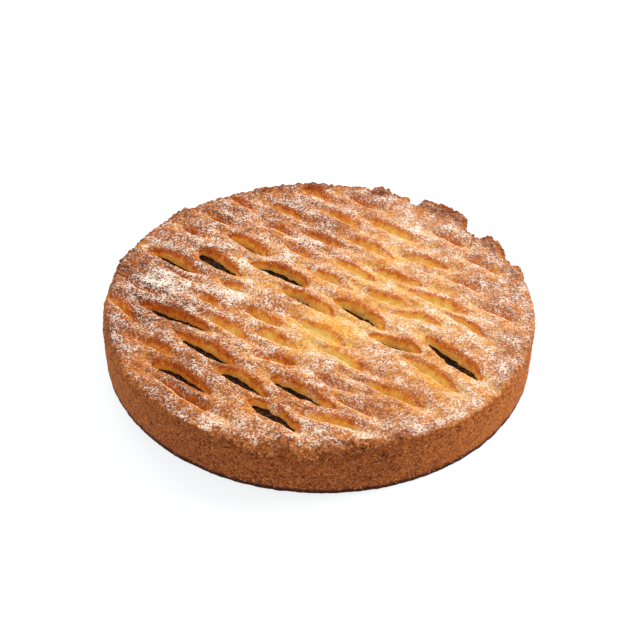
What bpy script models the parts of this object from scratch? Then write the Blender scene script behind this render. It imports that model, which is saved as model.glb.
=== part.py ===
# A round apple pie that stands free, out of its tin: a shortcrust case, the dark fruit filling, and a lid
# of rolled pastry with staggered slits, some of which gape over the filling.
# Metres, +Z up, origin under the middle of the base. The view from -Y is the front.

import bmesh
import bpy
import math
import random
from collections import namedtuple
from mathutils import Vector, noise

MM = 0.001
GAP = 0.3 * MM

# The case, a plain turned cup of baked shortcrust.
CASE_TOP_RADIUS = 119.8 * MM
CASE_FOOT_RADIUS = 119.3 * MM
CASE_HEIGHT = 23.6 * MM
CASE_WALL = 6.5 * MM
CASE_BASE = 5.5 * MM
FOOT_ROUNDING = 1.3 * MM
RIM_ROUNDING = 1.0 * MM
TURN_STEPS = 120

# The filling, level with the case's rim and a little lumpy on top.
FILLING_RINGS = 9
FILLING_STEPS = 40
FILLING_LUMP = 1.4 * MM
FILLING_LUMP_SIZE = 11.0 * MM

# The lid, a sheet of pastry that lies on the rim and on the filling.
LID_RADIUS = 119.6 * MM
LID_THICKNESS = 5.1 * MM
LID_UNDERSIDE = CASE_HEIGHT + GAP
LID_DOME = 1.0 * MM
LID_SWELL = 0.7 * MM
LID_SWELL_SIZE = 24.0 * MM
LID_EDGE_DROP = 1.3 * MM
LID_EDGE_WIDTH = 5.0 * MM
LID_GRID_REACH = 128.0 * MM
LID_STEP_ALONG = 6.4 * MM
LID_STEPS_PER_ROW = 6

# The lattice: level rows of slits, each row set off from the last by half a pitch.
SLIT_TURN = math.radians(-35.0)
ROW_PITCH = 11.1 * MM
FIRST_ROW, LAST_ROW = -9, 9
MIDDLE_ROW_AT = -4.0 * MM
SLIT_PITCH = 60.0 * MM
EVEN_ROW_START = -7.0 * MM
ODD_ROW_START = 24.0 * MM
ROW_SLIDE = -19.0 * MM
ROW_SLIDE_OVER = 45.0 * MM
SLIT_HALF_LENGTH = (10.0 * MM, 14.0 * MM)
SLIT_LEAST_HALF_LENGTH = 8.0 * MM
SLIT_REACH = 112.0 * MM
SLIT_WANDER = 1.6 * MM
SLIT_TILT = math.radians(5.0)
SHOULDER = 4.3 * MM
SHOULDER_ROUNDNESS = 2.2
FAINT_DEPTH = (1.1 * MM, 1.9 * MM)
OPEN_LEDGE = 1.2
CUTTER_SIDES = 18
CUTTER_MARGIN = 6.0 * MM
SEED = 24

# The slits that show, by (row, column): along and across the rows, half length, half gape, depth (all mm)
# and tilt (degrees). A closed groove has no gape.
SLITS_SEEN = {
    (-9, 0): (-3, -105, 8, 0, 1.8, 0),
    (-8, 0): (-21, -94.5, 18, 2.1, 4.3, 0),
    (-8, 1): (36, -89, 15, 3.0, 4.3, -4),
    (-7, -1): (-49, -85, 13, 0, 3.0, 0),
    (-7, 0): (8, -79, 15, 2.8, 4.3, -3),
    (-7, 1): (60, -75, 18, 0, 3.2, 13),
    (-6, -1): (-84, -70, 15, 0, 3.0, -18),
    (-6, 0): (-26, -69, 18, 2.1, 4.3, -3),
    (-6, 1): (37, -66, 17, 2.2, 4.3, 2),
    (-5, -1): (-54, -58.5, 18, 2.8, 4.3, 9),
    (-5, 0): (9, -54, 12, 0, 1.8, 18),
    (-4, 0): (-25, -49, 17, 0, 3.2, -4),
    (-4, 1): (45, -50, 12, 0, 1.6, 0),
    (-3, -1): (-51, -36.5, 13, 0, 2.4, 0),
    (-3, 0): (0, -40.5, 12, 0, 3.0, 8),
    (-3, 1): (72, -39.5, 19, 0, 3.0, 5),
    (-2, 0): (-17, -30, 12, 0, 3.0, 5),
    (-2, 1): (41, -32.5, 16, 0, 2.8, 0),
    (-1, -2): (-92, -19, 16, 3.2, 4.3, -3),
    (-1, -1): (-48, -17, 10, 0, 2.2, 0),
    (-1, 0): (14, -21, 18, 0, 3.2, -3),
    (-1, 1): (82, -13, 18, 0, 2.6, -10),
    (0, -1): (-65, -4.7, 16.5, 4.0, 4.3, -5),
    (0, 0): (-6, -3.2, 16, 1.4, 4.3, -2),
    (0, 1): (53, -3.5, 13, 1.9, 4.3, 8),
    (1, -2): (-100, 10, 9, 0, 2.2, 0),
    (1, -1): (-34, 7.6, 17, 2.9, 4.3, 2),
    (1, 0): (23, 5, 16, 2.0, 4.3, -6),
    (1, 1): (84, 5, 19, 2.3, 4.3, -16),
    (2, -1): (-66, 19, 13, 1.6, 4.3, -4),
    (2, 0): (-8, 21.4, 15, 0, 2.6, 0),
    (2, 1): (50, 20.5, 14, 0, 3.0, 14),
    (3, -1): (-36, 32, 11, 0, 2.0, 0),
    (3, 0): (26, 25.5, 14, 0, 3.2, 5),
    (3, 1): (75, 33, 13, 0, 2.6, -8),
    (4, -1): (-60, 41.5, 11, 0, 1.8, 0),
    (4, 0): (-4, 37.5, 16, 0, 3.3, -6),
    (4, 1): (52, 41, 18, 0, 2.8, 3),
    (5, -2): (-95, 52, 9, 0, 2.4, -5),
    (5, -1): (-33, 50.5, 16, 0, 3.5, 4),
    (5, 0): (24, 46.5, 16, 0, 3.2, 9),
    (6, -1): (-67, 59.5, 15, 0, 3.5, 0),
    (6, 0): (-7, 61, 15, 0, 3.0, 0),
    (7, -1): (-36, 74, 15, 0, 3.0, -5),
    (7, 0): (26, 69, 13, 0, 2.8, 13),
    (8, -1): (-62, 86, 11, 0, 2.0, 0),
    (8, 0): (-6, 82, 18, 0, 3.3, -2),
}

# Lumps and bites of the rim: bearing and half width (degrees), outward and upward (mm).
RIM_CRAGS = (
    (99, 15, 0.3, 1.6),
    (72, 3, 1.0, 2.2),
    (61, 4, -4.5, -0.6),
    (50, 9, 2.0, 2.2),
    (39, 4, -4.5, -0.6),
    (31, 6, 2.4, 2.0),
    (24, 3, -2.0, 0.0),
    (17, 5, 0.8, 1.6),
    (136, 5, 0.6, 1.6),
    (163, 7, 0.3, 0.8),
    (205, 6, 0.2, 0.7),
    (247, 5, 0.5, 0.5),
    (268, 4, 0.7, -0.8),
    (292, 8, -0.3, 0.6),
    (330, 6, 0.3, 0.8),
)
RIM_CRAG_DEPTH = 7.0 * MM
RIM_RAGGED = 0.6 * MM
RIM_RAGGED_SIZE = 6.0 * MM
OUTLINE_STEPS = 180

Slit = namedtuple("Slit", "along across half_length half_gape depth tilt")


def clear_scene():
    for obj in list(bpy.data.objects):
        bpy.data.objects.remove(obj, do_unlink=True)


def new_collection(name):
    collection = bpy.data.collections.new(name)
    bpy.context.scene.collection.children.link(collection)
    return collection


def pastry_material(name, colour, roughness):
    material = bpy.data.materials.new(name)
    material.use_nodes = True
    shader = material.node_tree.nodes["Principled BSDF"]
    shader.inputs["Base Color"].default_value = (*colour, 1.0)
    shader.inputs["Roughness"].default_value = roughness
    shader.inputs["Metallic"].default_value = 0.0
    return material


def new_object(name, mesh, collection, material=None):
    obj = bpy.data.objects.new(name, mesh)
    collection.objects.link(obj)
    if material:
        mesh.materials.append(material)
    return obj


def smoothstep(x):
    x = min(max(x, 0.0), 1.0)
    return x * x * (3.0 - 2.0 * x)


def turned(name, profile, steps, collection, material):
    """An object turned about Z from (radius, height) points that run down its outer side."""
    mesh = bpy.data.meshes.new(name)
    points = [(radius, 0.0, height) for radius, height in profile]
    mesh.from_pydata(points, [(i, i + 1) for i in range(len(points) - 1)], [])
    obj = new_object(name, mesh, collection, material)
    screw = obj.modifiers.new("Turn", "SCREW")
    screw.steps = screw.render_steps = steps
    screw.use_merge_vertices = True
    screw.merge_threshold = 0.00005
    screw.use_smooth_shade = False
    return obj


def corner_arc(centre_radius, centre_height, rounding, start, end, steps=3):
    """Points of a rounded corner between two bearings in degrees, in the profile's plane."""
    bearings = [math.radians(start + (end - start) * i / steps) for i in range(steps + 1)]
    return [
        (centre_radius + rounding * math.cos(b), centre_height + rounding * math.sin(b))
        for b in bearings
    ]


def make_case(collection):
    """The cup: from the axis over the base's inside, up the wall, over the rim and down to the foot."""
    inner_radius = CASE_TOP_RADIUS - CASE_WALL
    profile = [(0.0, CASE_BASE), (inner_radius - CASE_BASE * 0.2, CASE_BASE), (inner_radius, CASE_HEIGHT)]
    profile += corner_arc(
        CASE_TOP_RADIUS - RIM_ROUNDING, CASE_HEIGHT - RIM_ROUNDING, RIM_ROUNDING, 90, 0
    )
    profile += corner_arc(CASE_FOOT_RADIUS - FOOT_ROUNDING, FOOT_ROUNDING, FOOT_ROUNDING, 0, -90)
    profile.append((0.0, 0.0))
    material = pastry_material("crust_side", (0.42, 0.17, 0.065), 0.8)
    return turned("pastry_case", profile, TURN_STEPS, collection, material)


def make_filling(collection):
    """A disc of fruit inside the case, its top sunk here and there between lumps."""
    outer = CASE_TOP_RADIUS - CASE_WALL - CASE_BASE * 0.2 - GAP
    rings = [outer * i / FILLING_RINGS for i in range(FILLING_RINGS + 1)]
    profile = [(radius, CASE_HEIGHT) for radius in rings]
    profile += [(outer, CASE_BASE + GAP), (0.0, CASE_BASE + GAP)]
    material = pastry_material("fruit_filling", (0.09, 0.03, 0.015), 0.35)
    guide = turned("filling_guide", profile, FILLING_STEPS, collection, material)
    graph = bpy.context.evaluated_depsgraph_get()
    mesh = bpy.data.meshes.new_from_object(guide.evaluated_get(graph))
    bpy.data.objects.remove(guide, do_unlink=True)
    for vertex in mesh.vertices:
        if vertex.co.z > CASE_HEIGHT - GAP:
            lump = noise.noise(vertex.co / FILLING_LUMP_SIZE)
            vertex.co.z -= FILLING_LUMP * (0.5 + 0.5 * lump)
    return new_object("apple_filling", mesh, collection)


def row_slide(across):
    """How far a row has slid along itself: the rows in front drift to one side as the sheet was laid."""
    return ROW_SLIDE * smoothstep(-across / ROW_SLIDE_OVER)


def lattice_slits():
    """Every slit of the lid: where it was seen, or else a faint one where the lattice's rule puts it."""
    draw = random.Random(SEED)
    slits = []
    for row in range(FIRST_ROW, LAST_ROW + 1):
        row_at = MIDDLE_ROW_AT + row * ROW_PITCH
        start = ODD_ROW_START if row % 2 else EVEN_ROW_START
        for column in (-2, -1, 0, 1):
            if (row, column) in SLITS_SEEN:
                along, across, half_length, half_gape, depth, tilt = SLITS_SEEN[row, column]
                sizes = (along * MM, across * MM, half_length * MM, half_gape * MM, depth * MM)
                slits.append(Slit(*sizes, math.radians(tilt)))
                continue
            along = start + column * SLIT_PITCH + row_slide(row_at) + draw.uniform(-1, 1) * SLIT_WANDER
            room = math.sqrt(max(SLIT_REACH**2 - row_at**2, 0.0)) - abs(along)
            half_length = min(draw.uniform(*SLIT_HALF_LENGTH), room)
            if half_length >= SLIT_LEAST_HALF_LENGTH:
                depth = draw.uniform(*FAINT_DEPTH)
                slits.append(Slit(along, row_at, half_length, 0.0, depth, draw.uniform(-1, 1) * SLIT_TILT))
    return slits


def slit_dip(slit, along, across):
    """How deep the lid's top lies below its crests at a point, because of one slit."""
    run, off = along - slit.along, across - slit.across
    x = run * math.cos(slit.tilt) + off * math.sin(slit.tilt)
    y = abs(off * math.cos(slit.tilt) - run * math.sin(slit.tilt))
    lens = 1.0 - (x / slit.half_length) ** 2
    if lens <= 0.0:
        return 0.0
    t = (y - OPEN_LEDGE * slit.half_gape * lens) / (SHOULDER * (0.55 + 0.45 * lens))
    if t >= 1.0:
        return 0.0
    rise = (1.0 - (1.0 - max(t, 0.0)) ** SHOULDER_ROUNDNESS) ** (1.0 / SHOULDER_ROUNDNESS)
    return slit.depth * math.sqrt(lens) * (1.0 - rise)


def crag_sum(bearing, which):
    """The rim's lumps and bites added up at a bearing: which is 2 for outward and 3 for upward."""
    total = 0.0
    for crag in RIM_CRAGS:
        away = abs((math.degrees(bearing) - crag[0] + 180.0) % 360.0 - 180.0) / crag[1]
        total += crag[which] * MM * smoothstep(1.6 * (1.0 - away))
    return total


def ragged(x, y):
    return noise.noise(Vector((x, y, 0.0)) / RIM_RAGGED_SIZE)


def outline_radius(bearing):
    """The lid's outer radius at a bearing from +X."""
    x, y = LID_RADIUS * math.cos(bearing), LID_RADIUS * math.sin(bearing)
    return LID_RADIUS + crag_sum(bearing, 2) + RIM_RAGGED * ragged(x, y)


def lid_top(x, y, slits):
    """The height of the lid's top over a point of the ground."""
    radius, bearing = math.hypot(x, y), math.atan2(y, x)
    along = x * math.cos(SLIT_TURN) + y * math.sin(SLIT_TURN)
    across = y * math.cos(SLIT_TURN) - x * math.sin(SLIT_TURN)
    top = LID_UNDERSIDE + LID_THICKNESS + LID_DOME * (1.0 - (radius / LID_RADIUS) ** 2)
    top += LID_SWELL * noise.noise(Vector((x, y, 0.0)) / LID_SWELL_SIZE)
    top -= max(slit_dip(slit, along, across) for slit in slits)
    outline = outline_radius(bearing)
    near_edge = (radius - outline + LID_EDGE_WIDTH) / LID_EDGE_WIDTH
    top -= LID_EDGE_DROP * min(max(near_edge, 0.0), 1.0) ** 2
    crag = smoothstep((radius - outline + RIM_CRAG_DEPTH) / (0.6 * RIM_CRAG_DEPTH))
    return top + crag * (crag_sum(bearing, 3) + RIM_RAGGED * ragged(2.0 * x, 2.0 * y))


def lid_sheet(slits):
    """A block with the lid's top and a flat underside, wider than the lid all round."""
    mesh = bmesh.new()
    half_columns = round(LID_GRID_REACH / LID_STEP_ALONG)
    row_step = ROW_PITCH / LID_STEPS_PER_ROW
    half_rows = round(LID_GRID_REACH / row_step)
    bmesh.ops.create_grid(mesh, x_segments=2 * half_columns, y_segments=2 * half_rows, size=1.0)
    turn_cos, turn_sin = math.cos(SLIT_TURN), math.sin(SLIT_TURN)
    for vertex in mesh.verts:
        along = vertex.co.x * half_columns * LID_STEP_ALONG
        across = vertex.co.y * half_rows * row_step + MIDDLE_ROW_AT
        x = along * turn_cos - across * turn_sin
        y = along * turn_sin + across * turn_cos
        vertex.co = (x, y, lid_top(x, y, slits))
    rim = [edge for edge in mesh.edges if edge.is_boundary]
    walls = bmesh.ops.extrude_edge_only(mesh, edges=rim)["geom"]
    lower = [item for item in walls if isinstance(item, bmesh.types.BMVert)]
    for vertex in lower:
        vertex.co.z = LID_UNDERSIDE
    open_edges = [edge for edge in mesh.edges if edge.is_boundary]
    bmesh.ops.edgeloop_fill(mesh, edges=open_edges)
    bmesh.ops.recalc_face_normals(mesh, faces=mesh.faces)
    sheet = bpy.data.meshes.new("lattice_lid")
    mesh.to_mesh(sheet)
    mesh.free()
    return sheet


def outline_cutter(collection):
    """A tall plug with the lid's ragged outline."""
    mesh = bmesh.new()
    bmesh.ops.create_cone(
        mesh, cap_ends=True, segments=OUTLINE_STEPS, radius1=1.0, radius2=1.0, depth=2.0
    )
    for vertex in mesh.verts:
        bearing = math.atan2(vertex.co.y, vertex.co.x)
        radius = outline_radius(bearing)
        height = LID_UNDERSIDE + 4.0 * CUTTER_MARGIN * (1 if vertex.co.z > 0 else -0.5)
        vertex.co = (radius * math.cos(bearing), radius * math.sin(bearing), height)
    data = bpy.data.meshes.new("lid_outline")
    mesh.to_mesh(data)
    mesh.free()
    return new_object("lid_outline", data, collection)


def slit_cutters(slits, collection):
    """One lens-shaped plug for each gaping slit, all in one mesh."""
    mesh = bmesh.new()
    for slit in slits:
        if not slit.half_gape:
            continue
        made = bmesh.ops.create_cone(
            mesh, cap_ends=True, segments=CUTTER_SIDES, radius1=1.0, radius2=1.0, depth=2.0
        )
        turn = SLIT_TURN + slit.tilt
        centre_x = slit.along * math.cos(SLIT_TURN) - slit.across * math.sin(SLIT_TURN)
        centre_y = slit.along * math.sin(SLIT_TURN) + slit.across * math.cos(SLIT_TURN)
        for vertex in made["verts"]:
            run = vertex.co.x * slit.half_length * 0.86
            off = vertex.co.y * abs(vertex.co.y) * slit.half_gape
            vertex.co.x = centre_x + run * math.cos(turn) - off * math.sin(turn)
            vertex.co.y = centre_y + run * math.sin(turn) + off * math.cos(turn)
            vertex.co.z = LID_UNDERSIDE + vertex.co.z * (LID_THICKNESS + CUTTER_MARGIN)
    data = bpy.data.meshes.new("slit_plugs")
    mesh.to_mesh(data)
    mesh.free()
    return new_object("slit_plugs", data, collection)


def boolean(obj, cutter, operation):
    cutter.hide_render = True
    cutter.display_type = "WIRE"
    modifier = obj.modifiers.new(operation.title(), "BOOLEAN")
    modifier.operation = operation
    modifier.solver = "EXACT"
    modifier.object = cutter


def make_lid(collection, cutters):
    slits = lattice_slits()
    material = pastry_material("crust_top", (0.62, 0.32, 0.11), 0.7)
    lid = new_object("lattice_lid", lid_sheet(slits), collection, material)
    boolean(lid, outline_cutter(cutters), "INTERSECT")
    boolean(lid, slit_cutters(slits, cutters), "DIFFERENCE")
    return lid


def main():
    clear_scene()
    pie = new_collection("apple_pie")
    cutters = new_collection("cutters")
    make_case(pie)
    make_filling(pie)
    make_lid(pie, cutters)


main()
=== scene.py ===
import math

import bpy
import numpy as np
from mathutils import Matrix, Vector


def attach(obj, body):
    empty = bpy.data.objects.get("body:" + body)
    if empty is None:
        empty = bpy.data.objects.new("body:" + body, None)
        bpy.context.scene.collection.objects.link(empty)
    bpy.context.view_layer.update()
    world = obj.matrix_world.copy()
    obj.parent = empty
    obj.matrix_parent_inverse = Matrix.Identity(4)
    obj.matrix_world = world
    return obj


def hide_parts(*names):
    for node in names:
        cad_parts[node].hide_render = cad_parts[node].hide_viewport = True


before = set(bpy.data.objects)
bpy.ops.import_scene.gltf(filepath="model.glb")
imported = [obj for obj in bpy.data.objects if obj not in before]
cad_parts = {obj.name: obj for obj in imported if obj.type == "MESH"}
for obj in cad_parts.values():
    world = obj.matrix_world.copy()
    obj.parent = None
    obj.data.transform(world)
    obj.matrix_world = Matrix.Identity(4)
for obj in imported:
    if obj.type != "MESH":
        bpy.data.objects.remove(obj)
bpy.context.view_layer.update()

MM = 0.001

# The side and the pastry sheet over it.
RIM_RADIUS = 119.7 * MM
FOOT_RADIUS = 119.3 * MM
SEAM_HEIGHT = 23.6 * MM
SHEET_TOP = 29.2 * MM
SHEET_DOME = 0.9 * MM
FOOT_ROUNDING = 1.4 * MM
LEDGE_RADIUS = 0.94 * RIM_RADIUS
LEDGE_DROP = 0.5 * MM
UNDERSIDE_RINGS = (0.985, 0.97, 0.8, 0.6, 0.4, 0.2, 0.05)

# How finely the sheet, its turned-down edge, the case and the filling are divided.
SHEET_RINGS_ALONG = 102
SHEET_RINGS_ACROSS = 202
SKIRT_ROWS = 7
CASE_ROWS = 33
CASE_COLUMNS = 1150
FILLING_RINGS = 130

# The rim's rounding: sharp, but rolled at one bearing and over a half width (degrees) on each side of it.
SHARP_EDGE = 0.8 * MM
ROLLED_EDGE = 5.5 * MM
ROLLED_AT = 190.0
ROLLED_OVER = 46.0
# The band of the sheet that turns down, in roundings, and how far inwards the sheet gives way to it.
EDGE_BAND = 1.35
EDGE_EASE = 22.0 * MM
# The crease between the lid and the side: its depth, and how much of the turned-down edge it takes.
CREASE_DEPTH = 0.6 * MM
CREASE_SHARE = 0.8
# The heights at which the rim's lumps and its raggedness begin on the side, and where the lumps are full.
LUMPS_FROM = 17.0 * MM
LUMPS_FULL = 26.0 * MM
RAGGED_FROM = 15.0 * MM
# Crumbs cling to the side from this height up, and fully from twice as high.
CLING_FROM = 1.5 * MM
# How far in from the rim the pastry is ragged, crumbly and held flatter, and how loose it is at the rim.
RAGGED_REACH = 9.0 * MM
CRUMBLY_REACH = 4.0 * MM
HELD_REACH = 5.5 * MM
RIM_LOOSE = 0.45
# Slabs that stand up from the rim and bites out of it, from the edge inwards (mm).
SLAB_REACH = 8.0
SLAB_SLOPE = 3.0
SLAB_WAVER = 7.0
BITE_REACH = 8.0
# How steeply each of them begins, along the rim: outward lumps, slabs, bites and ragged stretches.
LUMP_STEEPNESS = 1.6
SLAB_STEEPNESS = 2.2
BITE_STEEPNESS = 1.4
RAGGED_STEEPNESS = 2.0
# Small waves all round the rim: how many waves, of how many kinds, and how high (mm), more where ragged.
RIM_SEED = 5
RIM_WAVE_KINDS = 30
FEWEST_WAVES, MOST_WAVES = 14, 190
WAVE_HEIGHT = 0.02
RAGGED_WAVE_HEIGHT = 0.10

# Where the rim is ragged: bearing and half width (degrees), and how much.
RAGGED_RIM = ((268, 30, 1.0), (50, 42, 0.8), (325, 40, 0.25), (105, 35, 0.7), (150, 30, 0.4), (195, 40, 0.15))

# Lumps and bites of the rim: bearing and half width (degrees), outward and upward (mm).
RIM_CRAGS = (
    (99, 15, -0.8, 1.4),
    (72, 3, 1.0, 2.2),
    (61, 2.5, -4.5, -1.0),
    (50.5, 10, 2.2, 2.2),
    (38.5, 5, -5.0, -1.0),
    (30.5, 5, 0.8, 2.0),
    (22, 4, -2.2, 0.2),
    (16.5, 4, 1.0, 1.5),
    (136, 5, 0.6, 1.6),
    (163, 7, 0.3, 0.8),
    (205, 6, 0.2, 0.7),
    (247, 5, 0.3, 0.5),
    (257, 4, 0.8, -4.4),
    (262.5, 3, -1.0, 2.6),
    (268, 4, 0.7, -2.8),
    (275.5, 6, -1.4, 1.9),
    (286, 9, -0.8, 1.8),
    (297, 8, -0.6, 1.3),
    (330, 6, 0.3, 0.8),
)

# The slits, level in the lattice's own direction: along and across it, half length, half gape, depth (mm)
# and tilt (degrees). A closed groove has no gape.
LATTICE_TURN = math.radians(35.0)
SLITS = (
    (-9, -104, 21, 0, 1.4, -3),
    (-21, -94.2, 17, 2.2, 5.8, 0),
    (36, -88.7, 15, 2.6, 5.8, -4),
    (-49, -85, 13, 0, 3.2, 0),
    (8, -78.6, 15, 2.6, 5.8, -3),
    (60, -75, 18, 0, 3.6, 13),
    (-84, -70, 15, 0, 3.2, -18),
    (-26, -68.7, 18, 2.3, 5.8, -3),
    (37, -65.6, 17, 2.5, 5.8, 2),
    (-57, -58.2, 19, 2.6, 5.8, 6),
    (9, -54, 12, 0, 1.8, 18),
    (-25, -49, 17, 0, 3.4, -4),
    (45, -50, 12, 0, 1.6, 0),
    (-51, -36.5, 13, 0, 2.4, 0),
    (0, -40.5, 12, 0, 3.2, 8),
    (72, -39.5, 19, 0, 3.2, 5),
    (-17, -30, 12, 0, 3.2, 5),
    (41, -32.5, 16, 0, 3.0, 0),
    (-92, -19, 16, 2.2, 4.0, -3),
    (-48, -17, 10, 0, 2.2, 0),
    (14, -21, 18, 0, 3.4, -3),
    (82, -13, 18, 0, 2.8, -10),
    (-64, -4.4, 18, 3.9, 5.8, -5),
    (-6, -3.2, 16, 1.4, 5.4, -2),
    (53, -3.5, 13, 1.7, 5.6, 8),
    (-100, 10, 9, 0, 1.7, 0),
    (-34, 7.9, 17, 3.4, 5.8, 2),
    (23, 5, 16, 1.8, 5.6, -6),
    (84, 5.2, 19, 2.7, 5.8, -16),
    (-66, 19, 13, 1.4, 5.4, -4),
    (-8, 21.4, 15, 0, 2.6, 0),
    (50, 20.5, 14, 0, 3.0, 14),
    (-36, 32, 11, 0, 2.0, 0),
    (26, 25.5, 14, 0, 3.4, 5),
    (75, 33, 13, 0, 2.6, -8),
    (-60, 41.5, 11, 0, 1.8, 0),
    (-4, 37.5, 16, 0, 3.4, -6),
    (52, 41, 18, 0, 2.8, 3),
    (-95, 52, 9, 0, 1.6, -5),
    (-33, 50.5, 16, 0, 3.6, 4),
    (24, 46.5, 16, 0, 3.2, 9),
    (-67, 59.5, 15, 0, 3.6, 0),
    (-7, 61, 15, 0, 3.0, 0),
    (-36, 74, 15, 0, 3.0, -5),
    (26, 69, 13, 0, 2.8, 13),
    (-62, 86, 11, 0, 2.0, 0),
    (-6, 82, 18, 0, 3.4, -2),
    (65, -59.5, 11, 0, 1.5, 0),
    (-87, -48, 11, 0, 1.5, 0),
    (-78, -26, 11, 0, 1.3, 0),
    (-95, 29, 10, 0, 0.8, 0),
    (83, 51.5, 11, 0, 1.5, 0),
    (54.5, 62.6, 11, 0, 1.5, 0),
    (53.5, 85, 10, 0, 1.3, 0),
    (-37, 96, 11, 0, 1.5, 0),
    (25, 96, 10, 0, 1.3, 0),
)
# Slits that are widest near one end: their middles, and how far towards the right end that is.
BLUNT_ENDS = {(-64, -4.4): -0.6, (-34, 7.9): 0.2, (-57, -58.2): 0.1, (84, 5.2): 0.1, (36, -88.7): -0.3}
# The slits' seeded differences: bow (mm), breadth of shoulder and, save for those, lean to one end.
SLIT_SEED = 12
MOST_LEAN = 0.3
MOST_BOW = 1.3
MOST_BREADTH_CHANGE = 0.22
# A slit's ends are too shallow to show, so its groove runs on past them: gaping and closed ones.
GAPING_OVERRUN = 1.2
CLOSED_OVERRUN = 1.1
# Shoulders of the grooves, plump strands beside them and the hollow round them (mm). Far is the side away
# from the viewer. Open shoulder is how much narrower a shoulder is where the slit gapes.
LATTICE_SIZES = {
    "Far shoulder": 5.4,
    "Near shoulder": 2.6,
    "Open shoulder": 0.72,
    "Strand rise": 1.0,
    "Strand width": 4.5,
    "Hollow depth": 2.6,
    "Far hollow": 5.4,
    "Near hollow": 8.6,
    "Plumpness": 1.1,
    "Swell": 2.6,
}
# The sheet's usual lift between its hollows and its strands (mm).
USUAL_LIFT = 0.6
# How the lattice wanders: lump size (mm), detail and amount (mm).
LATTICE_WANDER = ((16.0, 1.0, 3.2), (4.5, 2.0, 2.4))
# The relief of short pastry (mm).
CRUMB_RELIEF = {"Lumps": 1.3, "Crumbs": 0.6, "Pits": 0.5, "Torn": 5.2}

# Sugar drifts and places with little sugar: centre (mm), radius (mm) and how much more or less.
SUGAR_DRIFTS = (
    (-86, 17, 26, 0.36),
    (-50, 4, 18, 0.30),
    (-66, -4, 14, 0.18),
    (-42, 36, 14, 0.20),
    (-38, 20, 30, 0.12),
    (-68, 56, 24, 0.22),
    (-8, 96, 22, 0.22),
    (-4, 60, 22, 0.25),
    (-20, 38, 16, 0.12),
    (54, 74, 20, 0.12),
    (84, -4, 26, 0.12),
    (2, -58, 16, 0.20),
    (-54, -104, 14, 0.32),
    (-8, -104, 14, 0.22),
    (25, -102, 16, 0.2),
    (76, -82, 16, 0.18),
    (-30, -30, 30, 0.1),
    (-110, 30, 26, -0.20),
    (9, -22, 20, -0.30),
    (40, -84, 22, -0.25),
    (-86, -56, 26, -0.22),
    (-62, -80, 24, -0.18),
    (60, -46, 24, -0.2),
    (61, -67, 22, -0.26),
    (-105, -20, 16, -0.12),
    (34, 34, 24, -0.12),
    (30, 4, 18, -0.16),
    (58, 16, 60, -0.08),
    (52, -102, 14, 0.2),
    (100, -52, 14, 0.15),
    (10, 76, 44, -0.07),
    (-66, 9, 15, 0.22),
    (-46, 7, 16, 0.22),
    (-104, 14, 14, 0.26),
)

# Paler and browner places: centre (mm), radius (mm) and how much paler (less) or browner (more).
OVEN_PATCHES = (
    (6, -26, 40, -0.28),
    (4, 80, 50, 0.07),
    (56, -4, 56, -0.16),
    (14, 28, 44, -0.10),
    (46, 58, 44, -0.12),
    (-92, -10, 56, 0.17),
    (-84, 40, 44, 0.12),
    (-70, -72, 46, 0.12),
    (-20, -92, 36, 0.05),
    (48, -84, 36, 0.02),
    (104, -10, 36, 0.04),
    (60, -58, 32, -0.10),
    (11, 55, 30, 0.05),
    (9, -12, 30, 0.04),
    (-38, 20, 30, -0.06),
    (84, 70, 30, 0.02),
    (-30, 96, 50, 0.08),
    (-66, 84, 40, 0.08),
    (-112, 24, 34, 0.12),
    (-110, -30, 40, 0.06),
    (80, -76, 40, -0.08),
)

# The filling, seen through the gaping slits.
FILLING_RADIUS = 112.3 * MM
FILLING_TOP = 25.6 * MM
FILLING_BASE = 6.0 * MM
FILLING_FALL = 3.0 * MM
# The fruit's lumps (mm).
FRUIT_LUMPS = {"Lump size": 5.0, "Lump height": 1.8}

# Grains gather where they lie thickly: the power that the thickness is raised to.
GATHERING = 1.8
# Most grains on a square metre, least and most half width, flatness, sides and seed.
SUGAR_GRAINS = (900000.0, 0.22 * MM, 0.46 * MM, 0.55, 4, 7)
RIM_CRUMBS = (480000.0, 0.3 * MM, 1.6 * MM, 0.6, 6, 11)
CLINGING_CRUMBS = (120000.0, 0.3 * MM, 0.7 * MM, 0.5, 5, 3)

# The camera, fitted to the photo's outline: half its angle of view, its bearing above the floor as seen
# from the pie, how far down it looks, its turn and its roll, and its distance.
HALF_VIEW = math.radians(12.5)
CAMERA_ABOVE = math.radians(39.61)
CAMERA_PITCH = math.radians(38.68)
CAMERA_TURN = math.radians(0.09)
CAMERA_ROLL = math.radians(1.57)
CAMERA_AWAY = 0.8235

# The studio: light from all round, two soft lights (place, width, power and colour), and a pale floor that
# reaches this far from the middle, just under the pie, and glows a little.
SKY_SHADE = (0.98, 0.985, 0.98, 1.0)
SKY_STRENGTH = 0.68
RIGHT_LIGHT = ((1.05, 0.2, 0.75), 0.5, 11.0, (1.0, 0.965, 0.89))
LEFT_LIGHT = ((-0.45, 0.9, 0.9), 0.6, 6.0, (1.0, 1.0, 1.0))
FLOOR_REACH = 2.5
FLOOR_HEIGHT = -0.0002
FLOOR_GLOW = 0.8


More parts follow.
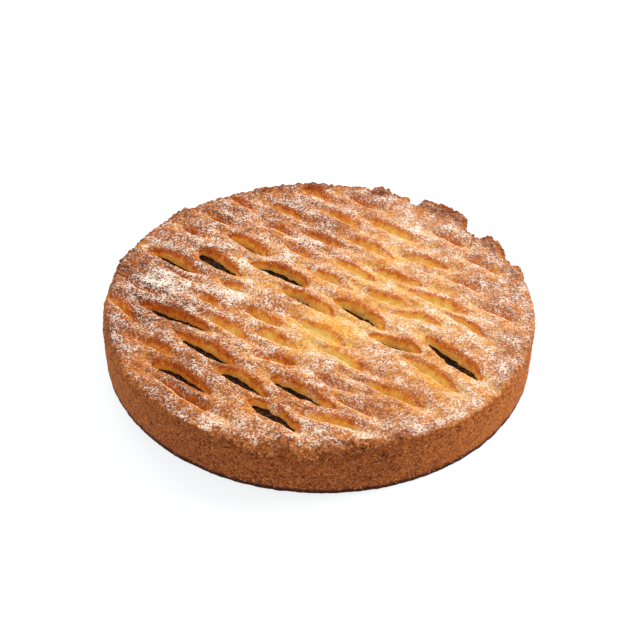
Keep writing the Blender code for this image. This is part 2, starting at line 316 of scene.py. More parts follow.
class Bench:
    """Adds nodes to a tree. A socket is joined to what it is given, and a plain value is set on it."""

    def __init__(self, tree):
        self.tree = tree

    def plug(self, socket, value):
        if isinstance(value, bpy.types.NodeSocket):
            self.tree.links.new(value, socket)
        else:
            socket.default_value = value

    def pick(self, sockets, key):
        if isinstance(key, int):
            return sockets[key]
        return next(socket for socket in sockets if socket.name == key and socket.enabled)

    def node(self, kind, inputs=None, **settings):
        made = self.tree.nodes.new(kind)
        for name, value in settings.items():
            setattr(made, name, value)
        for key, value in (inputs or {}).items():
            self.plug(self.pick(made.inputs, key), value)
        return made

    def get(self, kind, inputs=None, out=None, **settings):
        made = self.node(kind, inputs, **settings)
        if out is None:
            return next(socket for socket in made.outputs if socket.enabled)
        return self.pick(made.outputs, out)

    def math(self, operation, *terms, clamp=False):
        inputs = dict(enumerate(terms))
        return self.get("ShaderNodeMath", inputs, operation=operation, use_clamp=clamp)

    def vector(self, operation, *terms):
        inputs = dict(enumerate(terms))
        out = "Value" if operation == "DOT_PRODUCT" else "Vector"
        return self.get("ShaderNodeVectorMath", inputs, out, operation=operation)

    def times(self, value, *factors):
        for factor in factors:
            value = self.math("MULTIPLY", value, factor)
        return value

    def scaled(self, vector, factor):
        return self.get("ShaderNodeVectorMath", {0: vector, "Scale": factor}, "Vector", operation="SCALE")

    def step(self, value, low, high, start=0.0, end=1.0):
        """Goes smoothly from start to end as the value goes from low to high."""
        inputs = {0: value, 1: low, 2: high, 3: start, 4: end}
        return self.get("ShaderNodeMapRange", inputs, interpolation_type="SMOOTHSTEP")

    def noise(self, vector, size, detail=2.0, out="Fac"):
        """Noise from 0 to 1 whose lumps are about as big as the size, on a vector in millimetres."""
        return self.get("ShaderNodeTexNoise", {"Vector": vector, "Scale": 1.0 / size, "Detail": detail}, out)

    def sway(self, vector, size, detail=2.0):
        """The same noise, around 0."""
        return self.math("SUBTRACT", self.noise(vector, size, detail), 0.5)

    def cells(self, vector, size):
        """How far off the nearest of many strewn points is, as a share of the size."""
        return self.get("ShaderNodeTexVoronoi", {"Vector": vector, "Scale": 1.0 / size}, "Distance")

    def blend(self, share, low, high):
        return self.get("ShaderNodeMix", {0: share, 2: low, 3: high}, data_type="FLOAT")

    def colour(self, share, low, high, blend_type="MIX"):
        inputs = {0: share, 6: low, 7: high}
        made = self.node("ShaderNodeMix", inputs, data_type="RGBA", blend_type=blend_type)
        return made.outputs[2]

    def ramp(self, value, stops):
        made = self.node("ShaderNodeValToRGB", {"Fac": value})
        elements = made.color_ramp.elements
        elements[0].position, elements[1].position = stops[0][0], stops[-1][0]
        for place, _ in stops[1:-1]:
            elements.new(place)
        for element, (_, shade) in zip(elements, stops):
            element.color = (*shade, 1.0)
        return made.outputs["Color"]


def new_tree(name, kind, inputs, outputs):
    """A node tree with named sockets, and a bench to build it on: (tree, bench, inside, outside)."""
    tree = bpy.data.node_groups.new(name, kind)
    for label, socket_type in inputs:
        tree.interface.new_socket(label, in_out="INPUT", socket_type="NodeSocket" + socket_type)
    for label, socket_type in outputs:
        tree.interface.new_socket(label, in_out="OUTPUT", socket_type="NodeSocket" + socket_type)
    bench = Bench(tree)
    inside = tree.nodes.new("NodeGroupInput")
    outside = tree.nodes.new("NodeGroupOutput")
    return tree, bench, inside, outside


def new_shape_tree(name, sockets):
    """A Geometry Nodes tree that takes in a shape and the sockets' values, and gives out a shape."""
    shape = ("Geometry", "Geometry")
    return new_tree(name, "GeometryNodeTree", (shape, *sockets), (shape,))


def attribute_field(bench, name, data_type="FLOAT"):
    return bench.get("GeometryNodeInputNamedAttribute", {"Name": name}, data_type=data_type)


def keep_attribute(bench, geometry, name, value, data_type="FLOAT", selection=True):
    inputs = {"Geometry": geometry, "Selection": selection, "Name": name, "Value": value}
    return bench.get("GeometryNodeStoreNamedAttribute", inputs, data_type=data_type, domain="POINT")


def smoothstep(value):
    value = np.clip(value, 0.0, 1.0)
    return value * value * (3.0 - 2.0 * value)


def mesh_from(name, points, faces, attributes, smooth=True):
    mesh = bpy.data.meshes.new(name)
    mesh.from_pydata(points.tolist(), [], faces)
    for label, values in attributes.items():
        kind = "FLOAT_VECTOR" if values.ndim == 2 else "FLOAT"
        layer = mesh.attributes.new(label, kind, "POINT")
        layer.data.foreach_set("vector" if values.ndim == 2 else "value", values.astype(np.float32).ravel())
    mesh.polygons.foreach_set("use_smooth", [smooth] * len(mesh.polygons))
    mesh.update()
    return mesh


def new_piece(name, mesh):
    piece = bpy.data.objects.new(name, mesh)
    bpy.context.scene.collection.objects.link(piece)
    return piece


def apply_tree(piece, tree, values):
    """Runs a Geometry Nodes tree on the piece with the named values, and leaves a plain mesh."""
    modifier = piece.modifiers.new(tree.name, "NODES")
    modifier.node_group = tree
    for item in tree.interface.items_tree:
        if item.item_type == "SOCKET" and item.in_out == "INPUT" and item.name in values:
            modifier[item.identifier] = values[item.name]
    graph = bpy.context.evaluated_depsgraph_get()
    plain = bpy.data.meshes.new_from_object(piece.evaluated_get(graph))
    piece.modifiers.remove(modifier)
    blank = piece.data
    piece.data = plain
    plain.name = piece.name
    bpy.data.meshes.remove(blank)
    return piece


def bearing_bump(bearing, centre, half_width, steepness):
    """1 at a bearing given in degrees, and 0 past its half width."""
    away = np.abs((np.degrees(bearing) - centre + 180.0) % 360.0 - 180.0) / half_width
    return smoothstep(steepness * (1.0 - away))


def rim_at(bearing):
    """The rim at bearings in radians: how far it stands out (m) and up (mm), its rounding and raggedness."""
    outward, upward, ragged = np.zeros_like(bearing), np.zeros_like(bearing), np.zeros_like(bearing)
    for centre, half_width, out_mm, up_mm in RIM_CRAGS:
        steepness = SLAB_STEEPNESS if up_mm > 0 else BITE_STEEPNESS
        outward += out_mm * MM * bearing_bump(bearing, centre, half_width, LUMP_STEEPNESS)
        upward += up_mm * bearing_bump(bearing, centre, half_width, steepness)
    for centre, half_width, share in RAGGED_RIM:
        ragged = np.maximum(ragged, share * bearing_bump(bearing, centre, half_width, RAGGED_STEEPNESS))
    chance = np.random.default_rng(RIM_SEED)
    wave_height = WAVE_HEIGHT + RAGGED_WAVE_HEIGHT * ragged
    for waves in chance.integers(FEWEST_WAVES, MOST_WAVES, RIM_WAVE_KINDS):
        out_phase, up_phase = chance.uniform(0.0, 2.0 * math.pi, 2)
        outward += wave_height * MM * np.cos(waves * bearing + out_phase)
        upward += wave_height * np.cos(waves * bearing + up_phase)
    rolled = bearing_bump(bearing, ROLLED_AT, ROLLED_OVER, 1.0)
    rounding = SHARP_EDGE + (ROLLED_EDGE - SHARP_EDGE) * rolled
    return outward, upward, rounding, ragged


def patch_sum(points, patches):
    """Adds up soft round patches (x, y and radius in mm, amount) at the points."""
    total = np.zeros(len(points))
    for x, y, radius, amount in patches:
        away = np.hypot(points[:, 0] / MM - x, points[:, 1] / MM - y) / radius
        total += amount * smoothstep(1.0 - away)
    return total


def side_radius(height, outward):
    """The side's radius at a height: it leans out a little, and follows the rim's lumps near the top."""
    lean = FOOT_RADIUS + (RIM_RADIUS - FOOT_RADIUS) * height / SEAM_HEIGHT
    return lean + outward * smoothstep((height - LUMPS_FROM) / (LUMPS_FULL - LUMPS_FROM))


def around(radius, bearing, height):
    """Points, or directions, from how far they are from the pie's axis, their bearing and their height."""
    return np.stack([radius * np.cos(bearing), radius * np.sin(bearing), height], axis=1)


def ring_order(rings_along, rings_across):
    """The indices of a round grid's outer ring, anticlockwise."""
    right, far = 2 * rings_along, 2 * rings_across
    near_edge = [(i, 0) for i in range(right)]
    right_edge = [(right, j) for j in range(far)]
    far_edge = [(right - i, far) for i in range(right)]
    left_edge = [(0, far - j) for j in range(far)]
    return [i * (far + 1) + j for i, j in near_edge + right_edge + far_edge + left_edge]


def round_grid(rings_along, rings_across):
    """A disc of radius 1 made of four-sided faces in rings: its points and faces."""
    ticks_along = np.linspace(-1.0, 1.0, 2 * rings_along + 1)
    ticks_across = np.linspace(-1.0, 1.0, 2 * rings_across + 1)
    a, b = (grid.ravel() for grid in np.meshgrid(ticks_along, ticks_across, indexing="ij"))
    wide = np.abs(a) > np.abs(b)
    radius = np.where(wide, a, b)
    with np.errstate(divide="ignore", invalid="ignore"):
        turn = np.where(wide, b / a, np.where(b == 0.0, 0.0, a / b)) * math.pi / 4.0
    turn = np.where(wide, turn, math.pi / 2.0 - turn)
    points = np.stack([radius * np.cos(turn), radius * np.sin(turn)], axis=1)
    count = 2 * rings_across + 1
    corner = (np.arange(2 * rings_along)[:, None] * count + np.arange(2 * rings_across)[None, :]).ravel()
    faces = np.stack([corner, corner + count, corner + count + 1, corner + 1], axis=1)
    return points, faces.tolist()


def band_faces(rows):
    """Squares between neighbouring rows of point indices that close into rings, each row below the last."""
    faces = []
    for upper, lower in zip(rows, rows[1:]):
        count = len(upper)
        faces += [
            (upper[i], lower[i], lower[(i + 1) % count], upper[(i + 1) % count]) for i in range(count)
        ]
    return faces


def pastry_sheet():
    """The lid before its slits: a round sheet with the rim's lumps, its edge turned down to the seam."""
    flat, faces = round_grid(SHEET_RINGS_ALONG, SHEET_RINGS_ACROSS)
    start = np.hypot(flat[:, 0], flat[:, 1])
    bearing = np.arctan2(flat[:, 1], flat[:, 0]) - LATTICE_TURN
    outward, upward, rounding, ragged = rim_at(bearing)
    band = EDGE_BAND * rounding
    blank = start * RIM_RADIUS
    inset = RIM_RADIUS - blank
    arc = np.clip((band - inset) / band, 0.0, 1.0) * math.pi / 2.0
    brim = side_radius(SHEET_TOP, outward)
    shift = (brim - rounding) - (RIM_RADIUS - band)
    radius = blank + shift * np.clip((band - inset + EDGE_EASE) / EDGE_EASE, 0.0, 1.0) ** 2
    radius = np.where(arc > 0.0, brim - rounding + rounding * np.sin(arc), radius)
    height = SHEET_TOP + SHEET_DOME * (1.0 - start**2) - rounding * (1.0 - np.cos(arc))
    points = around(radius, bearing, height)
    facing = around(np.sin(arc), bearing, np.cos(arc))
    values = {
        "drift": patch_sum(points, SUGAR_DRIFTS),
        "tan": patch_sum(points, OVEN_PATCHES),
        "side": smoothstep(arc / (math.pi / 2.0) * 1.2 - 0.2),
        "loose": RIM_LOOSE + (1.0 - RIM_LOOSE) * smoothstep(inset / HELD_REACH),
        "inset": inset / MM,
        "crag": upward,
        "ragged": ragged * smoothstep(1.0 - inset / RAGGED_REACH),
        "crumbly": ragged * smoothstep(1.0 - inset / CRUMBLY_REACH),
    }
    ring = np.array(ring_order(SHEET_RINGS_ALONG, SHEET_RINGS_ACROSS))
    rows = [ring]
    turn = bearing[ring]
    for row in range(1, SKIRT_ROWS + 1):
        share = row / SKIRT_ROWS
        drop = points[ring, 2] + (SEAM_HEIGHT - points[ring, 2]) * share
        crease = CREASE_DEPTH * math.sin(math.pi * min(share / CREASE_SHARE, 1.0))
        rows.append(np.arange(len(ring)) + len(points))
        points = np.vstack([points, around(side_radius(drop, outward[ring]) - crease, turn, drop)])
        facing = np.vstack([facing, around(1.0, turn, 0.0 * turn)])
        skirt = {"side": 1.0, "inset": 0.0, "drift": 0.0, "tan": 0.0, "ragged": ragged[ring]}
        skirt["loose"] = RIM_LOOSE * (1.0 - share)
        skirt["crag"] = upward[ring] * (1.0 - share)
        skirt["crumbly"] = ragged[ring] * (1.0 - share)
        for label, value in skirt.items():
            values[label] = np.append(values[label], np.broadcast_to(value, len(ring)))
    faces += band_faces([row.tolist() for row in rows])
    return mesh_from("slit_pastry_lid", points, faces, {"facing": facing, **values})


def case_shell():
    """The case outside its filling: the ledge under the lid, the side, the foot and the underside.

    facing is where the relief goes: up on the ledge, outwards on the side, nowhere on the flat underside.
    """
    turn = np.linspace(0.0, 2.0 * math.pi, CASE_COLUMNS, endpoint=False)
    outward, _, _, ragged = rim_at(turn)
    rings = [(LEDGE_RADIUS, SEAM_HEIGHT - LEDGE_DROP, 1.0)]
    for row in range(CASE_ROWS):
        height = SEAM_HEIGHT * (1.0 - row / CASE_ROWS)
        tucked = FOOT_ROUNDING - math.sqrt(FOOT_ROUNDING**2 - max(FOOT_ROUNDING - height, 0.0) ** 2)
        rings.append((side_radius(height, outward) - tucked, height, 0.0))
    rings += [(share * FOOT_RADIUS, 0.0, -1.0) for share in UNDERSIDE_RINGS]
    points, facing, rough, cling = [], [], [], []
    for radius, height, up in rings:
        points.append(around(radius, turn, np.full(CASE_COLUMNS, height)))
        facing.append(around(1.0 - abs(up), turn, np.full(CASE_COLUMNS, max(up, 0.0))))
        rough.append(ragged * smoothstep((height - RAGGED_FROM) / (SEAM_HEIGHT - RAGGED_FROM)))
        cling.append(np.full(CASE_COLUMNS, smoothstep((height - CLING_FROM) / CLING_FROM)))
    order = [(np.arange(CASE_COLUMNS) + CASE_COLUMNS * row).tolist() for row in range(len(rings))]
    faces = band_faces(order)
    faces.append(order[-1][::-1])
    values = {
        "facing": np.vstack(facing),
        "ragged": np.concatenate(rough),
        "cling": np.concatenate(cling),
        "side": np.ones(CASE_COLUMNS * len(rings)),
    }
    return mesh_from("shortcrust_case", np.vstack(points), faces, values)


def slit_marks():
    """One loose point for each slit, with its sizes as attributes, for the lattice tree to read."""
    table = np.array(SLITS, dtype=float)
    table[:, 2] *= np.where(table[:, 3] > 0.0, GAPING_OVERRUN, CLOSED_OVERRUN)
    place = np.stack([table[:, 0], table[:, 1], np.radians(table[:, 5])], axis=1)
    spread = np.array([MOST_LEAN, MOST_BOW, MOST_BREADTH_CHANGE])
    chance = np.random.default_rng(SLIT_SEED)
    bend = chance.uniform(-spread, spread, (len(table), 3)) + np.array([0.0, 0.0, 1.0])
    for row, slit in enumerate(SLITS):
        bend[row, 0] = BLUNT_ENDS.get(slit[:2], bend[row, 0])
    values = {"place": place, "size": table[:, 2:5], "bend": bend}
    marks = new_piece("slit_marks", mesh_from("slit_marks", place * MM, [], values))
    marks.hide_render = True
    return marks


def crumb_relief_tree():
    """Moves a crust's surface in and out: broken lumps, short crumbs and small pits, torn where ragged."""
    sockets = [(label, "Float") for label in CRUMB_RELIEF]
    tree, bench, inside, outside = new_shape_tree("Crumb relief", sockets)
    spot = bench.scaled(bench.get("GeometryNodeInputPosition"), 1000.0)
    facing = attribute_field(bench, "facing", "FLOAT_VECTOR")
    pit_here = bench.step(bench.cells(spot, 3.4), 0.10, 0.34, 1.0, 0.0)
    pit_some = bench.step(bench.noise(bench.vector("ADD", spot, (31.0, 7.0, 5.0)), 6.0), 0.48, 0.6)
    depth = bench.times(pit_here, pit_some, inside.outputs["Pits"])
    share = bench.math("MULTIPLY_ADD", attribute_field(bench, "side"), 0.7, 0.3)
    rise = bench.times(bench.sway(spot, 7.0), inside.outputs["Lumps"])
    rise = bench.math("MULTIPLY_ADD", bench.sway(spot, 2.4), inside.outputs["Crumbs"], rise)
    rise = bench.times(bench.math("SUBTRACT", rise, depth), share)
    torn = bench.math("SUBTRACT", bench.noise(spot, 2.9, 3.0), 0.52)
    torn = bench.times(torn, attribute_field(bench, "ragged"))
    rise = bench.math("MULTIPLY_ADD", torn, inside.outputs["Torn"], rise)
    offset = bench.scaled(facing, bench.times(rise, MM))
    moved = bench.get("GeometryNodeSetPosition", {"Geometry": inside.outputs["Geometry"], "Offset": offset})
    bench.plug(outside.inputs["Geometry"], moved)
    return tree


def place_crumb_relief(bench, geometry, relief):
    group = bench.node("GeometryNodeGroup", node_tree=relief)
    for label, value in {"Geometry": geometry, **CRUMB_RELIEF}.items():
        bench.plug(group.inputs[label], value)
    return group.outputs["Geometry"]


def finish_tree(bench, shape, inside, outside):
    """Ends a tree with one plain mesh of the tree's material."""
    shape = bench.get("GeometryNodeRealizeInstances", {"Geometry": shape})
    shape = bench.get("GeometryNodeSetMaterial", {"Geometry": shape, "Material": inside.outputs["Material"]})
    bench.plug(outside.inputs["Geometry"], shape)


def slit_numbers(bench, marks, index, name):
    """Three numbers of one slit, from a vector attribute of its point."""
    inputs = {"Geometry": marks, "Value": attribute_field(bench, name, "FLOAT_VECTOR"), "Index": index}
    value = bench.get("GeometryNodeSampleIndex", inputs, data_type="FLOAT_VECTOR", domain="POINT")
    return bench.node("ShaderNodeSeparateXYZ", {0: value}).outputs


def place_in_slit(bench, middle_along, middle_across, cosine, sine):
    """How far along and across a tilted slit the sheet's points are, from its middle (mm)."""
    spot = bench.node("ShaderNodeSeparateXYZ", {0: attribute_field(bench, "in_lattice", "FLOAT_VECTOR")})
    run = bench.math("SUBTRACT", spot.outputs[0], middle_along)
    off = bench.math("SUBTRACT", spot.outputs[1], middle_across)
    along = bench.math("MULTIPLY_ADD", run, cosine, bench.times(off, sine))
    across = bench.math("SUBTRACT", bench.times(off, cosine), bench.times(run, sine))
    return along, across


def bent_slit(bench, along, across, half_length, lean, bow):
    """Bows a slit and leans it to one end. Gives how far across it a point is (mm), and the slit's lens.

    The lens is 1 where the slit is widest, and 0 at its ends.
    """
    share = bench.math("DIVIDE", along, half_length)
    inner = bench.math("SUBTRACT", 1.0, bench.times(share, share), clamp=True)
    across = bench.math("MULTIPLY_ADD", bow, inner, across)
    share = bench.math("SUBTRACT", share, bench.times(lean, inner))
    return across, bench.math("SUBTRACT", 1.0, bench.times(share, share), clamp=True)


def slit_shoulder(bench, inside, far, lens, half_gape, breadth):
    """How wide a groove's wall is (mm): widest at the middle of a closed slit, and on its far side."""
    shoulder = bench.blend(far, inside.outputs["Near shoulder"], inside.outputs["Far shoulder"])
    narrowing = bench.math("MULTIPLY_ADD", bench.math("POWER", lens, 0.7), 0.85, 0.15)
    opened = bench.step(half_gape, 1.6, 2.4, 1.0, inside.outputs["Open shoulder"])
    return bench.times(shoulder, bench.times(narrowing, breadth), opened)


def wall_slide(bench, away, gape, shoulder, quarter, on_wall):
    """How far the sheet slides outwards to make a round wall, and out of the gape (mm)."""
    rounded = bench.math("SUBTRACT", 1.0, bench.math("COSINE", quarter))
    wall_at = bench.math("MULTIPLY_ADD", shoulder, rounded, gape)
    slide = bench.times(bench.math("SUBTRACT", wall_at, away), on_wall)
    share = bench.math("DIVIDE", away, bench.math("MAXIMUM", gape, 0.01))
    in_gape = bench.math("SUBTRACT", 1.0, share, clamp=True)
    return bench.math("MULTIPLY_ADD", in_gape, away, slide)


def strand_rise(bench, inside, edge, away, lens):
    """The plump strand along a groove's edge (mm)."""
    beside = bench.math("ABSOLUTE", bench.math("SUBTRACT", away, edge))
    beside = bench.math("DIVIDE", beside, inside.outputs["Strand width"])
    return bench.times(bench.step(beside, 0.0, 1.0, 1.0, 0.0), lens, inside.outputs["Strand rise"])


def wide_hollow(bench, inside, along, away, far, half_length, gape):
    """The wide shallow hollow round a slit, 1 in its middle."""
    stretched = bench.math("DIVIDE", along, bench.times(half_length, 1.9))
    hollow = bench.math("SUBTRACT", 1.0, bench.times(stretched, stretched), clamp=True)
    width = bench.blend(far, inside.outputs["Near hollow"], inside.outputs["Far hollow"])
    aside = bench.math("DIVIDE", away, bench.math("ADD", gape, width))
    return bench.times(hollow, bench.step(aside, 0.0, 1.0, 1.0, 0.0))


def slit_loop(bench, geometry, inside):
    """Repeats over the slits. Each presses its groove into the sheet and raises the strands beside it.

    slit is how deep the groove is there. wall is 1 outside the slits and at a far wall's crest. It falls to 0
    at the bottom of a deep slit, less in a shallow one, and is at most 0.4 on the near wall.
    """
    marks = bench.get("GeometryNodeObjectInfo", {"Object": inside.outputs["Slits"]}, "Geometry")
    total = bench.get("GeometryNodeAttributeDomainSize", {"Geometry": marks}, "Point Count")
    start = bench.node("GeometryNodeRepeatInput")
    end = bench.node("GeometryNodeRepeatOutput")
    start.pair_with_output(end)
    bench.plug(start.inputs["Iterations"], total)
    bench.plug(start.inputs["Geometry"], geometry)
    index = start.outputs["Iteration"]
    middle_along, middle_across, tilt = slit_numbers(bench, marks, index, "place")
    half_length, half_gape, depth = slit_numbers(bench, marks, index, "size")
    lean, bow, breadth = slit_numbers(bench, marks, index, "bend")

    cosine, sine = bench.math("COSINE", tilt), bench.math("SINE", tilt)
    along, across = place_in_slit(bench, middle_along, middle_across, cosine, sine)
    across, lens = bent_slit(bench, along, across, half_length, lean, bow)
    away, far = bench.math("ABSOLUTE", across), bench.math("GREATER_THAN", across, 0.0)
    gape = bench.times(half_gape, bench.math("POWER", lens, 0.55))
    shoulder = slit_shoulder(bench, inside, far, lens, half_gape, breadth)
    climb = bench.math("DIVIDE", bench.math("SUBTRACT", away, gape), shoulder, clamp=True)
    quarter = bench.times(climb, math.pi / 2.0)
    bluntness = bench.blend(bench.math("GREATER_THAN", half_gape, 0.0), 1.0, 0.5)
    deepest = bench.times(depth, bench.math("POWER", lens, bluntness))
    drop = bench.times(deepest, bench.math("SUBTRACT", 1.0, bench.math("SINE", quarter)))

    tapered = bench.math("POWER", lens, 0.4)
    below_crest = bench.math("LESS_THAN", climb, 1.0)
    on_wall = bench.times(bench.math("GREATER_THAN", climb, 0.0), below_crest, tapered)
    slide = wall_slide(bench, away, gape, shoulder, quarter, on_wall)
    slide = bench.times(slide, bench.math("SIGN", across))
    back = bench.times(slide, bench.times(sine, -1.0))
    pull = bench.get("ShaderNodeCombineXYZ", {0: back, 1: bench.times(slide, cosine)})
    bare = bench.times(bench.math("SUBTRACT", 1.0, climb), tapered, bench.step(depth, 1.0, 2.6, 0.15, 1.0))
    wall = bench.times(bench.math("SUBTRACT", 1.0, bare), bench.blend(far, 0.4, 1.0))
    rise = strand_rise(bench, inside, bench.math("ADD", gape, shoulder), away, lens)
    hollow = wide_hollow(bench, inside, along, away, far, half_length, gape)

    old_dip = attribute_field(bench, "dip")
    deeper = bench.get(
        "FunctionNodeCompare", {0: drop, 1: old_dip}, data_type="FLOAT", operation="GREATER_THAN"
    )
    shape = keep_attribute(bench, start.outputs["Geometry"], "pull", pull, "FLOAT_VECTOR", deeper)
    shape = keep_attribute(bench, shape, "wall", wall, "FLOAT", deeper)
    shape = keep_attribute(bench, shape, "slit", deepest, "FLOAT", deeper)
    for label, value in (("dip", drop), ("rise", rise), ("hollow", hollow)):
        most = bench.math("MAXIMUM", value, attribute_field(bench, label))
        shape = keep_attribute(bench, shape, label, most)
    bench.plug(end.inputs["Geometry"], shape)
    return end.outputs["Geometry"]


def dust_field(bench):
    """How thickly the sugar lies: in drifts, less on slopes that face the front and on the broken rim.

    Bites and shallow slits keep theirs.
    """
    spot = bench.scaled(bench.get("GeometryNodeInputPosition"), 1000.0)
    inset, ragged = attribute_field(bench, "inset"), attribute_field(bench, "ragged")
    normal = bench.get("GeometryNodeInputNormal")
    slope = bench.vector("DOT_PRODUCT", normal, Vector((-0.02, 0.17, 0.98)).normalized())
    lies = bench.step(slope, 0.7, 0.93, 0.16, 1.0)
    bitten = bench.step(attribute_field(bench, "crag"), -0.4, -2.0, 0.0, 0.9)
    shallow = bench.step(attribute_field(bench, "slit"), 2.6, 1.4)
    shallow = bench.times(shallow, bench.step(inset, 3.0, 7.0, 0.0, 0.8))
    lies = bench.math("MAXIMUM", bench.math("MAXIMUM", lies, bitten), shallow)
    patches = bench.sway(spot, 7.0, 4.0)
    level = bench.math("ADD", attribute_field(bench, "drift"), 0.45)
    level = bench.math("MULTIPLY_ADD", patches, 1.5, level)
    broken = bench.step(bench.math("MULTIPLY_ADD", patches, 12.0, inset), 4.2, 2.6)
    level = bench.math("MULTIPLY_ADD", bench.times(broken, ragged), -0.7, level)
    on_top = bench.math("SUBTRACT", 1.0, attribute_field(bench, "side"))
    return bench.times(lies, bench.math("MULTIPLY", level, on_top, clamp=True))


def crag_lift(bench, spot):
    """The slabs and bites of the rim, in millimetres upward: slabs end irregularly, bites slope down."""
    crag, inset = attribute_field(bench, "crag"), attribute_field(bench, "inset")
    wavy_inset = bench.math("MULTIPLY_ADD", bench.sway(spot, 5.0), SLAB_WAVER, inset)
    slab = bench.step(wavy_inset, SLAB_REACH - SLAB_SLOPE, SLAB_REACH, 1.0, 0.0)
    bite = bench.step(inset, 0.5, BITE_REACH, 1.0, 0.0)
    return bench.times(bench.blend(bench.math("GREATER_THAN", crag, 0.0), bite, slab), crag)


def wandering_lattice(bench, position, turn):
    """The points' places in the lattice's own direction (mm), made to wander as dough stretches."""
    rotation = {"Vector": position, "Angle": turn}
    place = bench.get("ShaderNodeVectorRotate", rotation, rotation_type="Z_AXIS")
    for size, detail, amount in LATTICE_WANDER:
        waver = bench.vector("SUBTRACT", bench.noise(position, size, detail, "Color"), (0.5, 0.5, 0.5))
        place = bench.vector("ADD", place, bench.scaled(waver, amount))
    return place


def rim_scorch(bench, position):
    """Where the rim is browned: on its slabs and along its ragged edge."""
    slab = bench.math("MULTIPLY", crag_lift(bench, position), 0.5, clamp=True)
    rim_edge = bench.step(attribute_field(bench, "inset"), 0.5, 4.5, 1.0, 0.0)
    return bench.math("MAXIMUM", slab, bench.times(rim_edge, attribute_field(bench, "ragged"), 0.8))


def lattice_tree(relief):
    """Slits and plump strands pressed into the pastry sheet."""
    sockets = [("Slits", "Object"), ("Turn", "Float"), *((label, "Float") for label in LATTICE_SIZES)]
    sockets.append(("Material", "Material"))
    tree, bench, inside, outside = new_shape_tree("Slit lattice", sockets)
    position = bench.scaled(bench.get("GeometryNodeInputPosition"), 1000.0)
    in_lattice = wandering_lattice(bench, position, inside.outputs["Turn"])
    shape = keep_attribute(bench, inside.outputs["Geometry"], "in_lattice", in_lattice, "FLOAT_VECTOR")
    for label, value in (("dip", 0.0), ("rise", 0.0), ("hollow", 0.0), ("slit", 0.0), ("wall", 1.0)):
        shape = keep_attribute(bench, shape, label, value)
    shape = keep_attribute(bench, shape, "pull", (0.0, 0.0, 0.0), "FLOAT_VECTOR")
    shape = slit_loop(bench, shape, inside)

    loose = attribute_field(bench, "loose")
    swell = bench.sway(position, 17.0, 1.0)
    lift = bench.math("MULTIPLY_ADD", swell, inside.outputs["Swell"], attribute_field(bench, "rise"))
    sunk = bench.times(attribute_field(bench, "hollow"), inside.outputs["Hollow depth"])
    lift = bench.math("ADD", lift, bench.math("SUBTRACT", inside.outputs["Plumpness"], sunk))
    proud = bench.times(bench.math("SUBTRACT", lift, USUAL_LIFT), loose)
    shape = keep_attribute(bench, shape, "proud", proud)
    lift = bench.times(bench.math("SUBTRACT", lift, attribute_field(bench, "dip")), loose)
    lift = bench.math("ADD", lift, crag_lift(bench, position))
    pull = bench.scaled(attribute_field(bench, "pull", "FLOAT_VECTOR"), loose)
    rotation = {"Vector": pull, "Angle": bench.times(inside.outputs["Turn"], -1.0)}
    pull = bench.get("ShaderNodeVectorRotate", rotation, rotation_type="Z_AXIS")
    offset = bench.vector("ADD", pull, bench.get("ShaderNodeCombineXYZ", {2: lift}))
    shape = bench.get("GeometryNodeSetPosition", {"Geometry": shape, "Offset": bench.scaled(offset, MM)})

    shape = keep_attribute(bench, shape, "scorch", rim_scorch(bench, position))
    scorched = bench.math("MULTIPLY_ADD", attribute_field(bench, "scorch"), -0.4, 1.0)
    shape = keep_attribute(bench, shape, "dust", bench.times(dust_field(bench), scorched))
    finish_tree(bench, place_crumb_relief(bench, shape, relief), inside, outside)
    return tree


def case_tree(relief):
    """The side's crumbly relief, with the lid's attributes set so that both share one material."""
    tree, bench, inside, outside = new_shape_tree("Crumbly case", [("Material", "Material")])
    shape = keep_attribute(bench, inside.outputs["Geometry"], "wall", 1.0)
    for label in ("dust", "scorch", "slit", "tan", "proud"):
        shape = keep_attribute(bench, shape, label, 0.0)
    finish_tree(bench, place_crumb_relief(bench, shape, relief), inside, outside)
    return tree


def filling_tree():
    """Lumps of cooked fruit pressed up under the slits."""
    sockets = [*((label, "Float") for label in FRUIT_LUMPS), ("Material", "Material")]
    tree, bench, inside, outside = new_shape_tree("Fruit lumps", sockets)
    spot = bench.scaled(bench.get("GeometryNodeInputPosition"), 1000.0)
    size = bench.math("DIVIDE", 1.0, inside.outputs["Lump size"])
    cell = bench.get("ShaderNodeTexVoronoi", {"Vector": spot, "Scale": size}, "Distance", feature="SMOOTH_F1")
    rise = bench.times(bench.math("SUBTRACT", 0.45, cell), inside.outputs["Lump height"])
    rise = bench.times(rise, attribute_field(bench, "top"), MM)
    offset = bench.get("ShaderNodeCombineXYZ", {2: rise})
    shape = bench.get("GeometryNodeSetPosition", {"Geometry": inside.outputs["Geometry"], "Offset": offset})
    finish_tree(bench, shape, inside, outside)
    return tree


